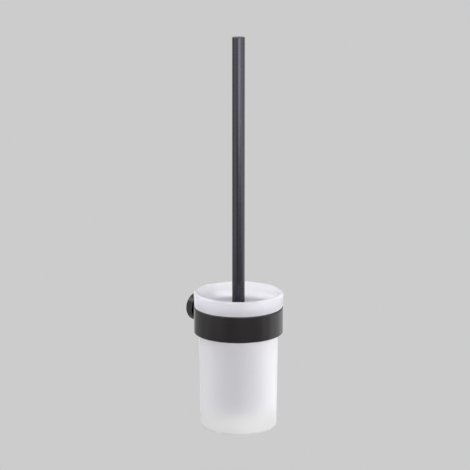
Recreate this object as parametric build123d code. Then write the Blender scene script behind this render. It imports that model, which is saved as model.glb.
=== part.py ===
from build123d import *
import math
import os

# A wall-mounted toilet brush set. A satin glass cup hangs by its rim in a steel ring, a short arm and a
# rosette carry the ring, and a brush with a long round handle stands in the cup.
# Frame: origin on the wall plane at the rosette's centre, +Y into the wall, +Z up, millimetres.

os.makedirs("parts", exist_ok=True)

# Wall side: a rosette slips over a plate that is screwed to the wall
WALL_TO_AXIS = 67.0
ROSETTE_D = 30.0
ROSETTE_DEPTH = 9.0
ROSETTE_WALL = 2.4
ROSETTE_FRONT = 2.8
ROSETTE_EDGE = 0.8
PLATE_D = 24.8
PLATE_THICKNESS = 5.8
GROOVE_HEIGHT = 3.0
GROOVE_DEPTH = 1.4
SCREW_SPACING = 14.0
SCREW_HOLE_D = 4.4
SCREW_HEAD_D = 8.2
GRUB_D = 4.0
GRUB_KEY = 2.0
GRUB_RECESS = 0.4

# Arm between rosette and ring, with one countersunk bolt from each end
ARM_D = 16.0
BOLT_D = 5.0
BOLT_HEAD_D = 9.2
BOLT_LAND = 0.3
BOLT_REACH = 6.0
BOLT_KEY = 3.0
BOLT_KEY_DEPTH = 1.6

# Ring band and the soft sleeve that stands on its inner lip; the sleeve's top edge carries the glass
RING_D = 90.0
RING_WALL = 2.8
RING_BOTTOM = -13.25
SEAT_HEIGHT = 13.25
RING_EDGE = 0.6
RING_LIP = 0.9
LIP_HEIGHT = 1.2
LINER_WALL = 1.4
LINER_PROUD = 0.3
LINER_LEAD_IN = 0.7

# Glass cup: a thick pressed tumbler with a flared rim that stands on the sleeve
CUP_HEIGHT = 139.7
RIM_HEIGHT = 15.05
RIM_FOOT_R = 44.5
RIM_R = 45.3
RIM_WALL = 4.2
RIM_EDGE = 1.75
RIM_FOOT_EDGE = 1.0
SHOULDER_EDGE = 0.9
BODY_TOP_R = 40.5
BODY_BASE_R = 38.9
CUP_WALL = 4.7
CUP_FLOOR = 12.0
BASE_EDGE = 3.0
FLOOR_EDGE = 4.0
LEDGE_RISE = 6.5
LEDGE_EDGE = 4.0
DISH_R = 31.0
DISH_DEPTH = 1.2

# Handle: a closed steel tube with a threaded bush at its lower end
HANDLE_D = 12.7
HANDLE_WALL = 1.0
HANDLE_TOP = 285.0
HANDLE_BOTTOM = -6.0
CAP_THICKNESS = 1.5
CAP_SPIGOT = 6.0
INSERT_LENGTH = 16.0
STUD_D = 8.0
STUD_IN_HANDLE = 14.0
STUD_IN_HEAD = 11.0
STUD_CHAMFER = 0.8
WASHER_THICKNESS = 1.0

# Brush head: bristles on four bands and a tapered tip, carried by a collared spindle
COLLAR_HEIGHT = 18.0
COLLAR_TOP_R = 6.6
COLLAR_R = 11.5
COLLAR_LIP = 2.5
COLLAR_SWEEP = 12.0
COLLAR_EDGE = 1.5
SPINDLE_R = 6.8
BACKING_R = 10.5
BAND_COUNT = 4
BAND_HEIGHT = 14.0
ROWS_IN_BAND = 4
STRANDS_IN_ROW = 22
STRAND_WIDTH = 1.2
BRUSH_R = 30.5
TOP_LEAN = 10.0
BOTTOM_LEAN = -14.0
TIP_HEIGHT = 5.5
TIP_CHAMFER = 4.0
# Each row at the tip: root radius, angle above the level, strands
TIP_ROWS = [(8.0, -35.0, 24), (6.0, -58.0, 14), (3.0, -78.0, 7), (0.0, -90.0, 1)]

# Clearances between fixed pieces and under the brush where it stands in the cup, and machined edges
FIT_GAP = 0.05
STANDING_GAP = 0.7
SMALL_CHAMFER = 0.4

FROM_WALL = Plane.XZ
AT_CUP = Pos(0, -WALL_TO_AXIS, 0)


def turned(*corners):
    """Revolve a closed outline about Z; a corner is (radius, height) or (radius, height, rounding)."""
    points = [corner[:2] for corner in corners]
    roundings = [corner[2] if len(corner) > 2 else 0 for corner in corners]
    outline = FilletPolyline(points, radius=roundings, close=True)
    return revolve(Plane.XZ * make_face(outline), Axis.Z)


def sleeve(inner_r, outer_r, bottom, top):
    """Upright tube with square edges."""
    return turned((inner_r, bottom), (outer_r, bottom), (outer_r, top), (inner_r, top))


def chamfered_sleeve(inner_r, outer_r, bottom, top, chamfer):
    """Upright tube, or a rod where inner_r is 0, with its two outer edges chamfered."""
    return turned(
        (inner_r, bottom),
        (outer_r - chamfer, bottom),
        (outer_r, bottom + chamfer),
        (outer_r, top - chamfer),
        (outer_r - chamfer, top),
        (inner_r, top),
    )


def countersunk(shank_d, head_d, length, land):
    """Flat head at z = 0 with a short land and a 90 degree cone, and a shank along +Z."""
    cone_end = land + (head_d - shank_d) / 2
    return turned(
        (0, 0),
        (head_d / 2, 0),
        (head_d / 2, land),
        (shank_d / 2, cone_end),
        (shank_d / 2, length),
        (0, length),
    )


def key_socket(across_flats, depth):
    """Hexagon socket that sinks along +Z from z = 0."""
    return extrude(RegularPolygon(across_flats / 2, 6, major_radius=False), depth)


def make_wall_plate():
    """Disc with a V groove round its edge for the grub screw and two countersunk screw holes."""
    radius = PLATE_D / 2
    plate = turned(
        (0, 0),
        (radius, 0),
        (radius, GROOVE_HEIGHT - GROOVE_DEPTH),
        (radius - GROOVE_DEPTH, GROOVE_HEIGHT),
        (radius, GROOVE_HEIGHT + GROOVE_DEPTH),
        (radius, PLATE_THICKNESS - SMALL_CHAMFER),
        (radius - SMALL_CHAMFER, PLATE_THICKNESS),
        (0, PLATE_THICKNESS),
    )
    hole = countersunk(SCREW_HOLE_D, SCREW_HEAD_D, PLATE_THICKNESS, BOLT_LAND)
    for side in (-1, 1):
        plate -= Pos(side * SCREW_SPACING / 2, 0, PLATE_THICKNESS) * Rot(180, 0, 0) * hole
    return FROM_WALL * plate


def make_rosette():
    """Cup-shaped cover, open to the wall, with a bolt hole in front and a tapped hole below."""
    radius = ROSETTE_D / 2
    cavity_depth = ROSETTE_DEPTH - ROSETTE_FRONT
    cover = turned(
        (0, cavity_depth),
        (radius - ROSETTE_WALL, cavity_depth),
        (radius - ROSETTE_WALL, 0),
        (radius, 0),
        (radius, ROSETTE_DEPTH, ROSETTE_EDGE),
        (0, ROSETTE_DEPTH),
    )
    bolt_hole = countersunk(BOLT_D + FIT_GAP, BOLT_HEAD_D + FIT_GAP, ROSETTE_DEPTH, BOLT_LAND)
    cover -= Pos(0, 0, cavity_depth) * bolt_hole
    cover -= Pos(0, -radius, GROOVE_HEIGHT) * Rot(90, 0, 0) * Cylinder(GRUB_D / 2, 3 * ROSETTE_WALL)
    return FROM_WALL * cover


def make_grub_screw():
    """Set screw with a hexagon socket and a cone point that wedges in the wall plate's groove."""
    radius = GRUB_D / 2 - FIT_GAP
    tip = PLATE_D / 2 - GROOVE_DEPTH + FIT_GAP
    outer_end = ROSETTE_D / 2 - GRUB_RECESS
    length = outer_end - tip
    screw = turned((0, 0), (radius, 0), (radius, length - radius), (0, length))
    screw -= key_socket(GRUB_KEY, length / 3)
    return FROM_WALL * Pos(0, -outer_end, GROOVE_HEIGHT) * Rot(-90, 0, 0) * screw


def make_arm():
    """Round post, tapped right through, with its front end hollowed to sit on the ring."""
    past_ring_face = WALL_TO_AXIS - ROSETTE_DEPTH - RING_D / 2 + RING_WALL
    post = extrude(Circle(ARM_D / 2) - Circle(BOLT_D / 2), past_ring_face)
    return FROM_WALL * Pos(0, 0, ROSETTE_DEPTH) * post - AT_CUP * Cylinder(RING_D / 2 + FIT_GAP, RING_D)


def arm_bolt(wall):
    """Countersunk bolt with a hexagon socket, its head flush at z = 0, that passes a wall into the arm."""
    bolt = countersunk(BOLT_D - FIT_GAP, BOLT_HEAD_D - FIT_GAP, wall + BOLT_REACH, BOLT_LAND)
    return bolt - key_socket(BOLT_KEY, BOLT_KEY_DEPTH)


def make_rosette_bolt():
    """Bolt from the rosette's cavity through its front."""
    head = ROSETTE_DEPTH - ROSETTE_FRONT
    return FROM_WALL * Pos(0, 0, head) * arm_bolt(ROSETTE_FRONT)


def make_ring_bolt():
    """Bolt from inside the ring through the band."""
    head = WALL_TO_AXIS - RING_D / 2 + RING_WALL
    return FROM_WALL * Pos(0, 0, head) * Rot(180, 0, 0) * arm_bolt(RING_WALL)


def make_ring():
    """Flat steel band with softened edges, a lip at its foot and a countersunk bolt hole at the back."""
    outer_r = RING_D / 2
    inner_r = outer_r - RING_WALL
    top = SEAT_HEIGHT - LINER_PROUD
    band = AT_CUP * turned(
        (inner_r, RING_BOTTOM + LIP_HEIGHT),
        (inner_r - RING_LIP, RING_BOTTOM + LIP_HEIGHT),
        (inner_r - RING_LIP, RING_BOTTOM),
        (outer_r, RING_BOTTOM, RING_EDGE),
        (outer_r, top, RING_EDGE),
        (inner_r, top),
    )
    hole = countersunk(BOLT_D + FIT_GAP, BOLT_HEAD_D + FIT_GAP, 3 * RING_WALL, RING_WALL / 2 + BOLT_LAND)
    hole_start = WALL_TO_AXIS - inner_r + RING_WALL / 2
    return band - FROM_WALL * Pos(0, 0, hole_start) * Rot(180, 0, 0) * hole


def make_ring_liner():
    """Soft sleeve that stands a little proud of the ring, with a lead-in for the glass."""
    outer_r = RING_D / 2 - RING_WALL - FIT_GAP
    inner_r = outer_r - LINER_WALL
    foot = RING_BOTTOM + LIP_HEIGHT
    return AT_CUP * turned(
        (inner_r, foot),
        (outer_r, foot),
        (outer_r, SEAT_HEIGHT),
        (inner_r + LINER_LEAD_IN, SEAT_HEIGHT),
        (inner_r, SEAT_HEIGHT - LINER_LEAD_IN),
    )


RIM_TOP = SEAT_HEIGHT + RIM_HEIGHT
CUP_BOTTOM = RIM_TOP - CUP_HEIGHT
FLOOR_HEIGHT = CUP_BOTTOM + CUP_FLOOR


def make_glass_cup():
    """Pressed tumbler: dished base, heavy floor, straight tapered body and a stepped, flared rim."""
    neck_r = BODY_TOP_R - CUP_WALL
    ledge_r = RIM_FOOT_R - RIM_WALL
    return AT_CUP * turned(
        (0, CUP_BOTTOM + DISH_DEPTH),
        (DISH_R, CUP_BOTTOM),
        (BODY_BASE_R, CUP_BOTTOM, BASE_EDGE),
        (BODY_TOP_R, SEAT_HEIGHT, SHOULDER_EDGE),
        (RIM_FOOT_R, SEAT_HEIGHT, RIM_FOOT_EDGE),
        (RIM_R, RIM_TOP, RIM_EDGE),
        (RIM_R - RIM_WALL, RIM_TOP, RIM_EDGE),
        (ledge_r, SEAT_HEIGHT + LEDGE_RISE, LEDGE_EDGE),
        (neck_r, SEAT_HEIGHT, LEDGE_EDGE),
        (BODY_BASE_R - CUP_WALL, FLOOR_HEIGHT, FLOOR_EDGE),
        (0, FLOOR_HEIGHT),
    )


def make_handle_tube():
    """Straight steel tube, open at both ends."""
    outer_r = HANDLE_D / 2
    return AT_CUP * sleeve(outer_r - HANDLE_WALL, outer_r, HANDLE_BOTTOM, HANDLE_TOP - CAP_THICKNESS)


def make_handle_cap():
    """Flat plug with a spigot that closes the tube's top."""
    outer_r = HANDLE_D / 2
    spigot_r = outer_r - HANDLE_WALL - FIT_GAP
    tube_top = HANDLE_TOP - CAP_THICKNESS
    return AT_CUP * turned(
        (0, HANDLE_TOP),
        (outer_r - SMALL_CHAMFER, HANDLE_TOP),
        (outer_r, HANDLE_TOP - SMALL_CHAMFER),
        (outer_r, tube_top),
        (spigot_r, tube_top),
        (spigot_r, tube_top - CAP_SPIGOT),
        (0, tube_top - CAP_SPIGOT),
    )


def make_handle_insert():
    """Bush pressed into the tube's lower end, tapped for the head's stud."""
    outer_r = HANDLE_D / 2 - HANDLE_WALL - FIT_GAP
    bore_r = STUD_D / 2 + FIT_GAP
    top = HANDLE_BOTTOM + INSERT_LENGTH
    return AT_CUP * chamfered_sleeve(bore_r, outer_r, HANDLE_BOTTOM, top, SMALL_CHAMFER)


HEAD_TOP = HANDLE_BOTTOM - WASHER_THICKNESS
BANDS_TOP = HEAD_TOP - COLLAR_HEIGHT
BANDS_BOTTOM = BANDS_TOP - BAND_COUNT * BAND_HEIGHT
BRISTLE_END = FLOOR_HEIGHT + STANDING_GAP


def make_seal_washer():
    """Flat washer that keeps water out of the tube."""
    return AT_CUP * sleeve(STUD_D / 2 + 2 * FIT_GAP, HANDLE_D / 2, HEAD_TOP, HANDLE_BOTTOM)


def make_head_stud():
    """Stud, half in the handle's bush and half moulded into the head."""
    top = HANDLE_BOTTOM + STUD_IN_HANDLE
    bottom = HEAD_TOP - STUD_IN_HEAD
    return AT_CUP * chamfered_sleeve(0, STUD_D / 2, bottom, top, STUD_CHAMFER)


def make_brush_core():
    """Moulded collar, drilled for the stud, with the spindle that carries the bristle bands."""
    lip_top = BANDS_TOP + COLLAR_LIP
    core = turned(
        (0, HEAD_TOP),
        (COLLAR_TOP_R, HEAD_TOP),
        (COLLAR_TOP_R, HEAD_TOP - COLLAR_LIP, COLLAR_SWEEP),
        (COLLAR_R, lip_top, COLLAR_EDGE),
        (COLLAR_R, BANDS_TOP),
        (SPINDLE_R, BANDS_TOP),
        (SPINDLE_R, BANDS_BOTTOM),
        (0, BANDS_BOTTOM),
    )
    bore_depth = STUD_IN_HEAD + FIT_GAP
    bore = extrude(Circle(STUD_D / 2 + FIT_GAP), -bore_depth)
    return AT_CUP * (core - Pos(0, 0, HEAD_TOP) * bore)


def strand(bearing, root_r, root_height, lean, length):
    """One four-sided bristle that starts inside the backing; lean is its angle above the level."""
    bristle = Box(STRAND_WIDTH, STRAND_WIDTH, length, align=(Align.CENTER, Align.CENTER, Align.MIN))
    return Rot(0, 0, bearing) * Pos(root_r, 0, root_height) * Rot(0, 90 - lean, 0) * bristle


def bristle_row(count, offset, root_r, root_height, lean, length):
    """Evenly spaced strands round the head; offset is in strand spacings."""
    spacing = 360 / count
    return [strand((place + offset) * spacing, root_r, root_height, lean, length) for place in range(count)]


def make_bristle_band(band):
    """Sleeve slice of the head with four staggered rows; the rows fan out from top to bottom."""
    top = BANDS_TOP - band * BAND_HEIGHT
    backing = sleeve(SPINDLE_R + FIT_GAP, BACKING_R, top - BAND_HEIGHT, top)
    root_r = (SPINDLE_R + BACKING_R) / 2
    row_count = BAND_COUNT * ROWS_IN_BAND
    strands = []
    for row in range(band * ROWS_IN_BAND, (band + 1) * ROWS_IN_BAND):
        root_height = BANDS_TOP - (row + 0.5) * BAND_HEIGHT / ROWS_IN_BAND
        lean = TOP_LEAN + (BOTTOM_LEAN - TOP_LEAN) * row / (row_count - 1)
        strands += bristle_row(STRANDS_IN_ROW, 0.5 * (row % 2), root_r, root_height, lean, BRUSH_R - root_r)
    return AT_CUP * backing.fuse(*strands)


def make_bristle_tip():
    """Tapered end of the head, with rows that splay out to the cup's floor."""
    end = BANDS_BOTTOM - TIP_HEIGHT
    taper = turned(
        (0, BANDS_BOTTOM),
        (BACKING_R, BANDS_BOTTOM),
        (BACKING_R, end + TIP_CHAMFER),
        (BACKING_R - TIP_CHAMFER, end),
        (0, end),
    )
    root_height = BANDS_BOTTOM - TIP_HEIGHT / 2
    longest = BRUSH_R - BACKING_R
    strands = []
    for root_r, lean, count in TIP_ROWS:
        to_floor = (BRISTLE_END - root_height) / math.sin(math.radians(lean))
        strands += bristle_row(count, 0.25, root_r, root_height, lean, min(to_floor, longest))
    return AT_CUP * taper.fuse(*strands)


export_step(make_wall_plate(), "parts/wall_plate.step")
export_step(make_rosette(), "parts/rosette.step")
export_step(make_grub_screw(), "parts/grub_screw.step")
export_step(make_arm(), "parts/arm.step")
export_step(make_rosette_bolt(), "parts/rosette_bolt.step")
export_step(make_ring_bolt(), "parts/ring_bolt.step")
export_step(make_ring(), "parts/ring.step")
export_step(make_ring_liner(), "parts/ring_liner.step")
export_step(make_glass_cup(), "parts/glass_cup.step")
export_step(make_handle_tube(), "parts/handle_tube.step")
export_step(make_handle_cap(), "parts/handle_cap.step")
export_step(make_handle_insert(), "parts/handle_insert.step")
export_step(make_seal_washer(), "parts/seal_washer.step")
export_step(make_head_stud(), "parts/head_stud.step")
export_step(make_brush_core(), "parts/brush_core.step")
for band in range(BAND_COUNT):
    export_step(make_bristle_band(band), f"parts/bristle_band_{band + 1}.step")
export_step(make_bristle_tip(), "parts/bristle_tip.step")
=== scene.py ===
import math

import bmesh
import bpy
from mathutils import Matrix, Vector


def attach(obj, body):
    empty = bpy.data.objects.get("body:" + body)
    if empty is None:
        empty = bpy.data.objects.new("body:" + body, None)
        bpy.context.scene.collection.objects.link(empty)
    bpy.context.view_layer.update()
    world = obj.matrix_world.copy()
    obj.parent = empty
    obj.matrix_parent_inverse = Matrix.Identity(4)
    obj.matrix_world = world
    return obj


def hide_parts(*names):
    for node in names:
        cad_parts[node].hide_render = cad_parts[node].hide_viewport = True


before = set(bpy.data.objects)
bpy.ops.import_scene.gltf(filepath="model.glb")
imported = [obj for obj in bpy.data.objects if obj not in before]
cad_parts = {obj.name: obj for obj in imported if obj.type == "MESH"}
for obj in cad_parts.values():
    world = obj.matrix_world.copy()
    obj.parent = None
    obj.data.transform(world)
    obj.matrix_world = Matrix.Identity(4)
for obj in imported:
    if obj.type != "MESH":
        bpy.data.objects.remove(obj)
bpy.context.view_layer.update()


# Wall plate: a turned steel disc that two countersunk screws hold to the wall, hidden inside the rosette.
# It is zinc plated, and the rosette slips over it.
MM = 0.001


def linear(colour):
    """sRGB hex to the linear RGBA that shader sockets take."""
    channels = [int(colour[start:start + 2], 16) / 255 for start in (1, 3, 5)]
    return [c / 12.92 if c <= 0.04045 else ((c + 0.055) / 1.055) ** 2.4 for c in channels] + [1.0]


def add(tree, kind, inputs=(), **settings):
    """Add a node, set it, and fill its inputs with values or links. Gives its outputs, by identifier."""
    node = tree.nodes.new(kind)
    for name, value in settings.items():
        setattr(node, name, value)
    sockets = {socket.identifier: socket for socket in node.inputs}
    for identifier, value in dict(inputs).items():
        if isinstance(value, bpy.types.NodeSocket):
            tree.links.new(value, sockets[identifier])
        else:
            sockets[identifier].default_value = value
    return {socket.identifier: socket for socket in node.outputs}


def start_finish(name, **constants):
    """New material with constants on its shader. Gives the material, tree, shader's inputs and position."""
    material = bpy.data.materials.new(name)
    material.use_nodes = True
    tree = material.node_tree
    shader = tree.nodes["Principled BSDF"].inputs
    for socket, value in constants.items():
        shader[socket.replace("_", " ")].default_value = value
    return material, tree, shader, add(tree, "ShaderNodeTexCoord")["Object"]


def grain(millimetres):
    """Texture scale for features of that size, since positions are in metres."""
    return 1 / (millimetres * MM)


def give(material, *nodes):
    """Put a finish on CAD nodes whose shape stays."""
    for name in nodes:
        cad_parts[name].material_slots[0].material = material


# Zinc plating: a soft blue-grey metallic sheen, mottled by crystals about 2.5 mm across.
zinc, tree, shader, position = start_finish("zinc_plated_steel", Metallic=1.0)
crystals = add(tree, "ShaderNodeTexVoronoi", {"Vector": position, "Scale": grain(2.5)})
mottle = add(tree, "ShaderNodeMix", {
    "Factor_Float": crystals["Color"],
    "A_Color": linear("#A6ACB3"),
    "B_Color": linear("#C8CCD1"),
}, data_type="RGBA")
sheen = add(tree, "ShaderNodeMapRange", {"Value": crystals["Color"], "To Min": 0.28, "To Max": 0.42})
tree.links.new(mottle["Result_Color"], shader["Base Color"])
tree.links.new(sheen["Result"], shader["Roughness"])
give(zinc, "wall_plate")


# Rosette, arm and ring: the steel bracket. The rosette covers the wall plate, a round arm is bolted between
# it and the ring, and the ring is a flat band that carries the cup. All are powder coated, then assembled.
SHINE_AT_SLANT = 0.044


def powder_coat(name, dark, light, glint, shine):
    """Matt black finish; glint and shine are the colour and level of its highlights."""
    # Polyester powder melts into a faint orange peel about 1.4 mm wide. Its fine grain, really about 0.2 mm
    # and drawn at 0.6 mm so that it shows, breaks up the highlights. The matting agent also takes away the
    # glare that a smooth paint has where it is seen at a slant.
    material, tree, shader, position = start_finish(name, IOR=1.5, Specular_Tint=linear(glint))
    peel = add(tree, "ShaderNodeTexNoise", {"Vector": position, "Scale": grain(1.4), "Detail": 1.0})
    specks = add(tree, "ShaderNodeTexNoise", {"Vector": position, "Scale": grain(0.6), "Detail": 2.0})
    shade = add(tree, "ShaderNodeMix", {
        "Factor_Float": specks["Fac"],
        "A_Color": linear(dark),
        "B_Color": linear(light),
    }, data_type="RGBA")
    gloss = add(tree, "ShaderNodeMapRange", {"Value": specks["Fac"], "To Min": 0.16, "To Max": 0.22})
    tilt = add(tree, "ShaderNodeLayerWeight", {"Blend": 0.5})
    glare = add(tree, "ShaderNodeMapRange", {
        "Value": tilt["Facing"],
        "From Min": 0.35,
        "From Max": 0.8,
        "To Min": shine,
        "To Max": SHINE_AT_SLANT,
    })
    grains = add(tree, "ShaderNodeBump", {"Strength": 0.15, "Distance": 0.04 * MM, "Height": specks["Fac"]})
    ripple = add(tree, "ShaderNodeBump", {
        "Strength": 0.25,
        "Distance": 0.06 * MM,
        "Height": peel["Fac"],
        "Normal": grains["Normal"],
    })
    tree.links.new(shade["Result_Color"], shader["Base Color"])
    tree.links.new(gloss["Result"], shader["Roughness"])
    tree.links.new(glare["Result"], shader["Specular IOR Level"])
    tree.links.new(ripple["Normal"], shader["Normal"])
    return material


coat = powder_coat("matt_black_powder_coat", "#090607", "#0F0B0C", glint="#FFFAFB", shine=0.39)
give(coat, "rosette", "arm", "ring")


# Fasteners: a set screw locks the rosette on the wall plate, two countersunk bolts hold the arm, and a stud
# joins the brush head to its handle. All are turned steel.
# Bright zinc plated steel: a clean silver shine, with the lathe's rings about 0.4 mm apart.
bright, tree, shader, position = start_finish("bright_zinc_steel", Metallic=1.0)
rings = add(tree, "ShaderNodeTexWave", {
    "Vector": position,
    "Scale": grain(0.4) / (2 * math.pi),
    "Distortion": 1.5,
}, wave_type="RINGS")
steel = add(tree, "ShaderNodeMix", {
    "Factor_Float": rings["Fac"],
    "A_Color": linear("#AFB1B3"),
    "B_Color": linear("#CBCCCC"),
}, data_type="RGBA")
turning = add(tree, "ShaderNodeMapRange", {"Value": rings["Fac"], "To Min": 0.24, "To Max": 0.36})
tree.links.new(steel["Result_Color"], shader["Base Color"])
tree.links.new(turning["Result"], shader["Roughness"])
give(bright, "grub_screw", "rosette_bolt", "ring_bolt", "head_stud")


# Liner: a soft moulded sleeve that stands on the ring's inner lip and keeps the glass off the steel.
# Milky silicone: a dull white that lets a little light in, clouded in patches about 5 mm wide.
silicone, tree, shader, position = start_finish(
    "milky_silicone", IOR=1.41, Subsurface_Weight=0.3, Subsurface_Scale=2 * MM, Specular_IOR_Level=0.3,
)
cloud = add(tree, "ShaderNodeTexNoise", {"Vector": position, "Scale": grain(5.0), "Detail": 2.0})
milky = add(tree, "ShaderNodeMix", {
    "Factor_Float": cloud["Fac"],
    "A_Color": linear("#D6D6D9"),
    "B_Color": linear("#E6E6E8"),
}, data_type="RGBA")
dull = add(tree, "ShaderNodeMapRange", {"Value": cloud["Fac"], "To Min": 0.5, "To Max": 0.65})
tree.links.new(milky["Result_Color"], shader["Base Color"])
tree.links.new(dull["Result"], shader["Roughness"])
give(silicone, "ring_liner")


# Cup: a heavy tumbler of pressed glass, etched in acid inside and out. It hangs by its rim on the liner's top
# edge and is fixed by nothing, so it lifts out. The heights are where its thick foot and rim set in.
FOOT_FULL = -99 * MM
FOOT_FROM = -84 * MM
RIM_FROM = 4 * MM
RIM_FULL = 16 * MM
LET_THROUGH_FACING = 0.695
LET_THROUGH_SLANTED = 0.38
LET_THROUGH_FOOT = 0.52
LET_THROUGH_RIM = 0.81

# Satin glass: it lets light through but scatters it, so the brush shows only as a blur. The etch leaves
# 0.3 mm frost, drawn at 0.8 mm so that it shows, and is faintly uneven. Light has further to go through the
# foot, and through a wall seen at a slant, so these look milkier. The etch bites deepest at the rim, which
# lets most light through, but so scattered that the dark bracket behind it doesn't show.
glass, tree, shader, position = start_finish("satin_etched_glass", IOR=1.5)
frost = add(tree, "ShaderNodeTexNoise", {"Vector": position, "Scale": grain(0.8), "Detail": 3.0})
bath = add(tree, "ShaderNodeTexNoise", {"Vector": position, "Scale": grain(22.0), "Detail": 2.0})
level = add(tree, "ShaderNodeSeparateXYZ", {"Vector": position})["Z"]
foot = add(tree, "ShaderNodeMapRange", {
    "Value": level,
    "From Min": FOOT_FULL,
    "From Max": FOOT_FROM,
    "To Min": 1.0,
    "To Max": 0.0,
}, interpolation_type="SMOOTHSTEP")["Result"]
rim = add(tree, "ShaderNodeMapRange", {
    "Value": level,
    "From Min": RIM_FROM,
    "From Max": RIM_FULL,
}, interpolation_type="SMOOTHSTEP")["Result"]
milk = add(tree, "ShaderNodeMix", {
    "Factor_Float": bath["Fac"],
    "A_Color": linear("#FBFAFF"),
    "B_Color": linear("#FDFCFF"),
}, data_type="RGBA")
foot_milk = add(tree, "ShaderNodeMix", {
    "Factor_Float": foot,
    "A_Color": milk["Result_Color"],
    "B_Color": linear("#FCFCFC"),
}, data_type="RGBA")
rim_milk = add(tree, "ShaderNodeMix", {
    "Factor_Float": rim,
    "A_Color": foot_milk["Result_Color"],
    "B_Color": linear("#FCFBFF"),
}, data_type="RGBA")
etch = add(tree, "ShaderNodeMapRange", {"Value": bath["Fac"], "To Min": 0.46, "To Max": 0.54})
rim_etch = add(tree, "ShaderNodeMix", {"Factor_Float": rim, "A_Float": etch["Result"], "B_Float": 0.72})
slant = add(tree, "ShaderNodeLayerWeight", {"Blend": 0.5})
wall_clear = add(tree, "ShaderNodeMapRange", {
    "Value": slant["Facing"],
    "From Max": 0.5,
    "To Min": LET_THROUGH_FACING,
    "To Max": LET_THROUGH_SLANTED,
})
foot_clear = add(tree, "ShaderNodeMix", {
    "Factor_Float": foot,
    "A_Float": wall_clear["Result"],
    "B_Float": LET_THROUGH_FOOT,
})
rim_clear = add(tree, "ShaderNodeMix", {
    "Factor_Float": rim,
    "A_Float": foot_clear["Result_Float"],
    "B_Float": LET_THROUGH_RIM,
})
tooth = add(tree, "ShaderNodeBump", {"Strength": 0.1, "Distance": 0.04 * MM, "Height": frost["Fac"]})
tree.links.new(rim_milk["Result_Color"], shader["Base Color"])
tree.links.new(rim_etch["Result_Float"], shader["Roughness"])
tree.links.new(rim_clear["Result_Float"], shader["Transmission Weight"])
tree.links.new(tooth["Normal"], shader["Normal"])
give(glass, "glass_cup")


# Handle: a straight steel tube with a flat plug in its top end, powder coated like the bracket.
# Its coat is a little lighter and shinier than the bracket's, and a shade cooler, so its highlights look
# faintly violet beside the ring.
cool_coat = powder_coat("cool_black_powder_coat", "#0C0B0D", "#131214", glint="#EDEBFF", shine=0.505)
give(cool_coat, "handle_tube", "handle_cap")


# Bush: a turned brass sleeve pressed into the handle's lower end, tapped for the stud.
# Turned brass: warm yellow metal, a little darker where it has tarnished in patches about 4 mm wide.
brass, tree, shader, position = start_finish("turned_brass", Metallic=1.0)
tarnish = add(tree, "ShaderNodeTexNoise", {"Vector": position, "Scale": grain(4.0), "Detail": 3.0})
metal = add(tree, "ShaderNodeMix", {
    "Factor_Float": tarnish["Fac"],
    "A_Color": linear("#B8914A"),
    "B_Color": linear("#DDBB72"),
}, data_type="RGBA")
polish = add(tree, "ShaderNodeMapRange", {"Value": tarnish["Fac"], "To Min": 0.4, "To Max": 0.22})
tree.links.new(metal["Result_Color"], shader["Base Color"])
tree.links.new(polish["Result"], shader["Roughness"])
give(brass, "handle_insert")


# Washer: a flat rubber ring that seals the handle's end against the brush head.
# Black moulded rubber: no gloss to speak of, with a faint skin of 0.5 mm pits and a grey bloom.
rubber, tree, shader, position = start_finish("black_moulded_rubber", IOR=1.52, Specular_IOR_Level=0.3)
pits = add(tree, "ShaderNodeTexNoise", {"Vector": position, "Scale": grain(0.5), "Detail": 3.0})
bloom = add(tree, "ShaderNodeTexNoise", {"Vector": position, "Scale": grain(9.0), "Detail": 2.0})
skin = add(tree, "ShaderNodeMix", {
    "Factor_Float": bloom["Fac"],
    "A_Color": linear("#141414"),
    "B_Color": linear("#232323"),
}, data_type="RGBA")
matt = add(tree, "ShaderNodeMapRange", {"Value": pits["Fac"], "To Min": 0.72, "To Max": 0.9})
dents = add(tree, "ShaderNodeBump", {"Strength": 0.3, "Distance": 0.05 * MM, "Height": pits["Fac"]})
tree.links.new(skin["Result_Color"], shader["Base Color"])
tree.links.new(matt["Result"], shader["Roughness"])
tree.links.new(dents["Normal"], shader["Normal"])
give(rubber, "seal_washer")


# Brush head: a moulded collar and spindle, screwed to the handle by the stud. A barrel round the spindle
# holds the tufts, and its lower edge is rounded. Sizes are radii and heights in millimetres.
AXIS = Vector((0, -67 * MM, 0))
BARREL_R = 10.5
BARREL_BORE_R = 6.85
BARREL_TOP = -25.0
BARREL_BOTTOM = -86.5
BARREL_EDGE_R = 4.0
SPINDLE_END = -81.0

# White polypropylene, moulded: a waxy half gloss, with 0.7 mm spark texture from the tool and slight flow
# marks about 12 mm wide.
plastic, tree, shader, position = start_finish(
    "white_moulded_polypropylene", IOR=1.49, Subsurface_Weight=0.15, Subsurface_Scale=2 * MM,
)
spark = add(tree, "ShaderNodeTexNoise", {"Vector": position, "Scale": grain(0.7), "Detail": 2.0})
flow = add(tree, "ShaderNodeTexNoise", {
    "Vector": position,
    "Scale": grain(12.0),
    "Detail": 1.0,
    "Distortion": 1.0,
})
wax = add(tree, "ShaderNodeMix", {
    "Factor_Float": flow["Fac"],
    "A_Color": linear("#BCBCBB"),
    "B_Color": linear("#C9C9C8"),
}, data_type="RGBA")
waxy = add(tree, "ShaderNodeMapRange", {"Value": spark["Fac"], "To Min": 0.36, "To Max": 0.5})
texture = add(tree, "ShaderNodeBump", {"Strength": 0.2, "Distance": 0.04 * MM, "Height": spark["Fac"]})
tree.links.new(wax["Result_Color"], shader["Base Color"])
tree.links.new(waxy["Result"], shader["Roughness"])
tree.links.new(texture["Normal"], shader["Normal"])
give(plastic, "brush_core")


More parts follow.
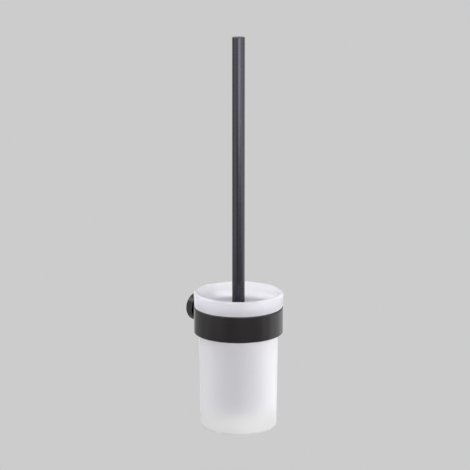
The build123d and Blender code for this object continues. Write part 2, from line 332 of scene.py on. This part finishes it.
def turned(name, outline, sides):
    """Lathe piece on the cup's axis from a closed outline of (radius, height) corners in millimetres."""
    mesh = bmesh.new()
    rings = []
    for radius, height in outline:
        bearings = [2 * math.pi * side / sides for side in range(sides)] if radius else [0]
        rings.append([
            mesh.verts.new(AXIS + MM * Vector((radius * math.cos(b), radius * math.sin(b), height)))
            for b in bearings
        ])
    for near, far in zip(rings, rings[1:] + rings[:1]):
        for side in range(sides):
            places = [(near, side), (near, side + 1), (far, side + 1), (far, side)]
            corners = list(dict.fromkeys(ring[place % len(ring)] for ring, place in places))
            if len(corners) > 2:
                mesh.faces.new(corners)
    bmesh.ops.recalc_face_normals(mesh, faces=mesh.faces)
    data = bpy.data.meshes.new(name)
    mesh.to_mesh(data)
    mesh.free()
    data.shade_smooth()
    data.set_sharp_from_angle(angle=math.radians(30))
    piece = bpy.data.objects.new(name, data)
    bpy.context.scene.collection.objects.link(piece)
    return piece


barrel_outline = [(BARREL_BORE_R, BARREL_TOP), (BARREL_R, BARREL_TOP)]
for degrees in range(0, 91, 15):
    angle = math.radians(degrees)
    barrel_outline.append((
        BARREL_R - BARREL_EDGE_R * (1 - math.cos(angle)),
        BARREL_BOTTOM + BARREL_EDGE_R * (1 - math.sin(angle)),
    ))
barrel_outline += [(0, BARREL_BOTTOM), (0, SPINDLE_END), (BARREL_BORE_R, SPINDLE_END)]
barrel = turned("tuft_barrel", barrel_outline, sides=96)
barrel.data.materials.append(plastic)
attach(barrel, "brush")


# Bristles: tufts of nylon, stapled into holes in sixteen staggered rows round the barrel and four rows under
# its tip, then trimmed to a cylinder that clears the cup. Sizes are in millimetres and degrees.
ROW_COUNT = 16
ROW_SPACING = 3.5
TUFTS_IN_ROW = 22
ROOT_R = 8.65
TRIM_R = 30.5
TOP_LEAN = 10.0
BOTTOM_LEAN = -14.0
TIP_ROOT = -83.75
TIP_END = -97.9
TIP_REACH = 20.0
TIP_STAGGER = 0.25
TIP_ROOT_RADII = [8.0, 6.0, 3.0, 0.0]
TIP_LEANS = [-35.0, -58.0, -78.0, -90.0]
TUFTS_IN_TIP_ROW = [24, 14, 7, 1]

# White nylon filament, 0.4 mm thick: milky, glossy, and slightly darker and yellower towards the roots.
nylon, tree, shader, position = start_finish("white_nylon_filament", IOR=1.53, Roughness=0.32)
batch = add(tree, "ShaderNodeTexNoise", {"Vector": position, "Scale": grain(3.0), "Detail": 1.0})
thread = add(tree, "ShaderNodeMix", {
    "Factor_Float": batch["Fac"],
    "A_Color": linear("#F2F2F1"),
    "B_Color": linear("#FAFAF9"),
}, data_type="RGBA")
length_share = add(tree, "ShaderNodeAttribute", attribute_name="length_share")
# The filament is coloured slightly darker and yellower towards its roots.
toward_roots = add(tree, "ShaderNodeMix", {
    "Factor_Float": length_share["Fac"],
    "A_Color": linear("#E2E0DA"),
    "B_Color": thread["Result_Color"],
}, data_type="RGBA")
tree.links.new(toward_roots["Result_Color"], shader["Base Color"])

tufts = []
for row in range(ROW_COUNT):
    lean = math.radians(TOP_LEAN + (BOTTOM_LEAN - TOP_LEAN) * row / (ROW_COUNT - 1))
    height = BARREL_TOP - (row + 0.5) * ROW_SPACING
    stagger = row % 2 / 2
    for place in range(TUFTS_IN_ROW):
        bearing = (place + stagger) * 2 * math.pi / TUFTS_IN_ROW
        tufts.append((bearing, ROOT_R, height, lean, TRIM_R - ROOT_R))
for root_r, degrees, count in zip(TIP_ROOT_RADII, TIP_LEANS, TUFTS_IN_TIP_ROW):
    lean = math.radians(degrees)
    reach = min(TIP_REACH, (TIP_END - TIP_ROOT) / math.sin(lean))
    for place in range(count):
        bearing = (place + TIP_STAGGER) * 2 * math.pi / count
        tufts.append((bearing, root_r, TIP_ROOT, lean, reach))

places, aims, reaches = [], [], []
for bearing, root_r, height, lean, reach in tufts:
    outward = Vector((math.cos(bearing), math.sin(bearing), 0))
    places.append(AXIS + MM * (root_r * outward + Vector((0, 0, height))))
    aims.extend(math.cos(lean) * outward + Vector((0, 0, math.sin(lean))))
    reaches.append(reach * MM)
roots = bpy.data.meshes.new("bristles")
roots.from_pydata(places, [], [])
roots.attributes.new("aim", "FLOAT_VECTOR", "POINT").data.foreach_set("vector", aims)
roots.attributes.new("reach", "FLOAT", "POINT").data.foreach_set("value", reaches)
bristles = bpy.data.objects.new("bristles", roots)
bpy.context.scene.collection.objects.link(bristles)

# The tree grows a bunch of filaments on each root: scattered in the hole, splayed, bowed and cut unevenly.
tree = bpy.data.node_groups.new("tufted_brush", "GeometryNodeTree")
tree.interface.new_socket("Geometry", in_out="INPUT", socket_type="NodeSocketGeometry")
brush_id = tree.interface.new_socket("Geometry", in_out="OUTPUT", socket_type="NodeSocketGeometry").identifier
sizes = {
    "Filaments in tuft": ("NodeSocketInt", 20),
    "Hole radius": ("NodeSocketFloat", 1.0 * MM),
    "Filament radius": ("NodeSocketFloat", 0.2 * MM),
    "Splay": ("NodeSocketFloat", 0.1),
    "Bend": ("NodeSocketFloat", 1.2 * MM),
    "Bend height": ("NodeSocketFloat", 0.6),
    "Shortest": ("NodeSocketFloat", 0.93),
    "Seed": ("NodeSocketInt", 7),
    "Nylon": ("NodeSocketMaterial", nylon),
}
wanted = {
    tree.interface.new_socket(name, in_out="INPUT", socket_type=kind).identifier: value
    for name, (kind, value) in sizes.items()
}
given = {socket.name: socket for socket in add(tree, "NodeGroupInput").values()}
aim = add(tree, "GeometryNodeInputNamedAttribute", {"Name": "aim"}, data_type="FLOAT_VECTOR")["Attribute"]
reach = add(tree, "GeometryNodeInputNamedAttribute", {"Name": "reach"}, data_type="FLOAT")["Attribute"]
points = add(tree, "GeometryNodeMeshToPoints", {"Mesh": given["Geometry"]})
packed = add(tree, "GeometryNodeDuplicateElements", {
    "Geometry": points["Points"],
    "Amount": given["Filaments in tuft"],
}, domain="POINT")
scatter = add(tree, "FunctionNodeRandomValue", {
    "Min": (-1, -1, -1),
    "Max": (1, 1, 1),
    "Seed": given["Seed"],
}, data_type="FLOAT_VECTOR")["Value"]
along = add(tree, "ShaderNodeVectorMath", {"Vector": scatter, "Vector_001": aim}, operation="PROJECT")
across = add(tree, "ShaderNodeVectorMath", {
    "Vector": scatter,
    "Vector_001": along["Vector"],
}, operation="SUBTRACT")["Vector"]
in_hole = add(tree, "ShaderNodeVectorMath", {
    "Vector": across,
    "Scale": given["Hole radius"],
}, operation="SCALE")
placed = add(tree, "GeometryNodeSetPosition", {
    "Geometry": packed["Geometry"],
    "Offset": in_hole["Vector"],
})
fan = add(tree, "ShaderNodeVectorMath", {"Vector": across, "Scale": given["Splay"]}, operation="SCALE")
pointed = add(tree, "ShaderNodeVectorMath", {"Vector": aim, "Vector_001": fan["Vector"]}, operation="ADD")
facing = add(tree, "FunctionNodeAlignRotationToVector", {"Vector": pointed["Vector"]}, axis="Z")
turn = add(tree, "FunctionNodeRandomValue", {
    "Max_001": 2 * math.pi,
    "Seed": given["Seed"],
}, data_type="FLOAT")
roll = add(tree, "FunctionNodeAxisAngleToRotation", {"Angle": turn["Value_001"]})
spun = add(tree, "FunctionNodeRotateRotation", {
    "Rotation": facing["Rotation"],
    "Rotate By": roll["Rotation"],
}, rotation_space="LOCAL")
trim = add(tree, "FunctionNodeRandomValue", {
    "Min_001": given["Shortest"],
    "Max_001": 1.0,
    "Seed": given["Seed"],
}, data_type="FLOAT")
length = add(tree, "ShaderNodeMath", {"Value": reach, "Value_001": trim["Value_001"]}, operation="MULTIPLY")
stretch = add(tree, "ShaderNodeCombineXYZ", {"X": 1.0, "Y": 1.0, "Z": length["Value"]})
belly = add(tree, "ShaderNodeCombineXYZ", {"X": given["Bend"], "Z": given["Bend height"]})
spine = add(tree, "GeometryNodeCurveQuadraticBezier", {
    "Resolution": 3,
    "Start": (0, 0, 0),
    "Middle": belly["Vector"],
    "End": (0, 0, 1),
})
share = add(tree, "GeometryNodeSplineParameter")
marked = add(tree, "GeometryNodeStoreNamedAttribute", {
    "Geometry": spine["Curve"],
    "Name": "length_share",
    "Value": share["Factor"],
}, data_type="FLOAT", domain="POINT")
section = add(tree, "GeometryNodeCurvePrimitiveCircle", {
    "Resolution": 3,
    "Radius": given["Filament radius"],
})
filament = add(tree, "GeometryNodeCurveToMesh", {
    "Curve": marked["Geometry"],
    "Profile Curve": section["Curve"],
    "Fill Caps": True,
})
grown = add(tree, "GeometryNodeInstanceOnPoints", {
    "Points": placed["Geometry"],
    "Instance": filament["Mesh"],
    "Rotation": spun["Rotation"],
    "Scale": stretch["Vector"],
})
real = add(tree, "GeometryNodeRealizeInstances", {"Geometry": grown["Instances"]})
clad = add(tree, "GeometryNodeSetMaterial", {"Geometry": real["Geometry"], "Material": given["Nylon"]})
add(tree, "NodeGroupOutput", {brush_id: clad["Geometry"]})

maker = bristles.modifiers.new("tufts", "NODES")
maker.node_group = tree
for identifier, value in wanted.items():
    maker[identifier] = value
evaluated = bristles.evaluated_get(bpy.context.evaluated_depsgraph_get())
grown_mesh = bpy.data.meshes.new_from_object(evaluated)
bristles.modifiers.remove(maker)
bristles.data = grown_mesh
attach(bristles, "brush")
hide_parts("bristle_band_1", "bristle_band_2", "bristle_band_3", "bristle_band_4", "bristle_tip")


# Studio: a plain grey room with soft panels of light on all sides. The floor is a pale disc of paper that
# fades out, so it shows the shadow and no edge. Sizes are in metres.
BACKDROP = "#CCCCCC"
FLOOR_R = 1.2
FLOOR_FADES = 0.35
FLOOR_GONE = 0.75
FLOOR_CENTRE = AXIS + Vector((0, 0, -0.45))
LIT_POINT = AXIS + Vector((0, 0, 0.05))
CAMERA_BEARING = math.radians(-39.2)
TO_CAMERA = Vector((math.sin(CAMERA_BEARING), -math.cos(CAMERA_BEARING), 0))
TO_RIGHT = Vector((math.cos(CAMERA_BEARING), math.sin(CAMERA_BEARING), 0))

scene = bpy.context.scene
scene.view_settings.view_transform = "Standard"
world = bpy.data.worlds.new("studio")
scene.world = world
world.use_nodes = True
tree = world.node_tree
backdrop = add(tree, "ShaderNodeBackground", {"Color": linear(BACKDROP)})
ambient = add(tree, "ShaderNodeBackground", {"Color": linear("#FFFFFF"), "Strength": 0.2})
path = add(tree, "ShaderNodeLightPath")
seen = add(tree, "ShaderNodeMath", {
    "Value": path["Is Camera Ray"],
    "Value_001": path["Is Glossy Ray"],
}, operation="MAXIMUM")
seen_through = add(tree, "ShaderNodeMath", {
    "Value": seen["Value"],
    "Value_001": path["Is Transmission Ray"],
}, operation="MAXIMUM")
air = add(tree, "ShaderNodeMixShader", {
    "Fac": seen_through["Value"],
    "Shader": ambient["Background"],
    "Shader_001": backdrop["Background"],
})
tree.links.new(air["Shader"], tree.nodes["World Output"].inputs["Surface"])


def softbox(name, bearing, height, distance, width, tall, watts):
    """Rectangular light aimed at the cup; bearing is in degrees to the right of the camera."""
    lamp = bpy.data.lights.new(name, "AREA")
    lamp.shape = "RECTANGLE"
    lamp.size = width
    lamp.size_y = tall
    lamp.energy = watts
    angle = math.radians(bearing)
    outward = math.cos(angle) * TO_CAMERA + math.sin(angle) * TO_RIGHT
    stand = bpy.data.objects.new(name, lamp)
    stand.location = AXIS + distance * outward + Vector((0, 0, height))
    stand.rotation_euler = (LIT_POINT - stand.location).to_track_quat("-Z", "Y").to_euler()
    stand.visible_camera = False
    scene.collection.objects.link(stand)


softbox("key_softbox", bearing=16, height=0.1, distance=2.0, width=1.7, tall=0.56, watts=17.4)
softbox("key_fill", bearing=-20, height=0.14, distance=2.0, width=0.9, tall=0.5, watts=1.8)
softbox("front_left", bearing=-60, height=0.0, distance=2.0, width=2.1, tall=0.9, watts=7.7)
softbox("front_right", bearing=62, height=0.05, distance=2.0, width=1.3, tall=0.8, watts=8.4)
softbox("right_panel", bearing=116, height=-0.3, distance=1.8, width=1.8, tall=1.0, watts=3.2)
softbox("right_wide", bearing=99, height=-0.3, distance=1.8, width=2.5, tall=1.0, watts=3.6)
softbox("right_strip", bearing=150, height=0.1, distance=1.8, width=0.9, tall=2.0, watts=4.0)
softbox("left_panel", bearing=-110, height=0.1, distance=1.8, width=2.2, tall=2.0, watts=3.0)
softbox("left_strip", bearing=-158, height=0.1, distance=1.8, width=0.6, tall=2.0, watts=2.4)
softbox("left_high", bearing=-90, height=1.4, distance=1.3, width=2.0, tall=1.5, watts=20.5)
softbox("right_high", bearing=60, height=1.3, distance=1.3, width=1.6, tall=1.0, watts=15.2)
softbox("top_panel", bearing=20, height=1.9, distance=0.4, width=2.0, tall=2.0, watts=11.2)
softbox("back_panel", bearing=180, height=-0.05, distance=1.6, width=2.0, tall=0.8, watts=0.8)

floor_mesh = bpy.data.meshes.new("floor")
disc = bmesh.new()
bmesh.ops.create_circle(disc, cap_ends=True, segments=96, radius=FLOOR_R)
disc.to_mesh(floor_mesh)
disc.free()
floor_mesh.transform(Matrix.Translation(FLOOR_CENTRE))
floor = bpy.data.objects.new("floor", floor_mesh)
scene.collection.objects.link(floor)

# Matt paper, seen from above only: a view from below looks through it.
paper, tree, shader, position = start_finish("floor_paper", Roughness=0.9)
shader["Base Color"].default_value = linear("#C0C0C0")
centred = add(tree, "ShaderNodeVectorMath", {
    "Vector": position,
    "Vector_001": tuple(FLOOR_CENTRE),
}, operation="DISTANCE")
fade = add(tree, "ShaderNodeMapRange", {
    "Value": centred["Value"],
    "From Min": FLOOR_FADES,
    "From Max": FLOOR_GONE,
    "To Min": 1.0,
    "To Max": 0.0,
}, interpolation_type="SMOOTHSTEP")
side = add(tree, "ShaderNodeNewGeometry")
upper = add(tree, "ShaderNodeMath", {"Value": 1.0, "Value_001": side["Backfacing"]}, operation="SUBTRACT")
shown = add(tree, "ShaderNodeMath", {
    "Value": fade["Result"],
    "Value_001": upper["Value"],
}, operation="MULTIPLY")
tree.links.new(shown["Value"], shader["Alpha"])
floor_mesh.materials.append(paper)


# Camera: stands to the left of the front and above the rim, and looks down a little through a long lens.
# Its distance is from the cup's axis and its height from the rosette's middle, in metres, and its turns are
# in degrees.
CAMERA_DISTANCE = 1.8
CAMERA_HEIGHT = 0.491
CAMERA_DIP = 12.66
CAMERA_SWING = 0.11
LENS = 141.1
SENSOR = 36

camera_data = bpy.data.cameras.new("camera")
camera_data.lens = LENS
camera_data.sensor_width = SENSOR
camera = bpy.data.objects.new("camera", camera_data)
camera.location = AXIS + CAMERA_DISTANCE * TO_CAMERA + Vector((0, 0, CAMERA_HEIGHT))
camera.rotation_euler = (math.radians(90 - CAMERA_DIP), 0, CAMERA_BEARING + math.radians(CAMERA_SWING))
scene.collection.objects.link(camera)
scene.camera = camera
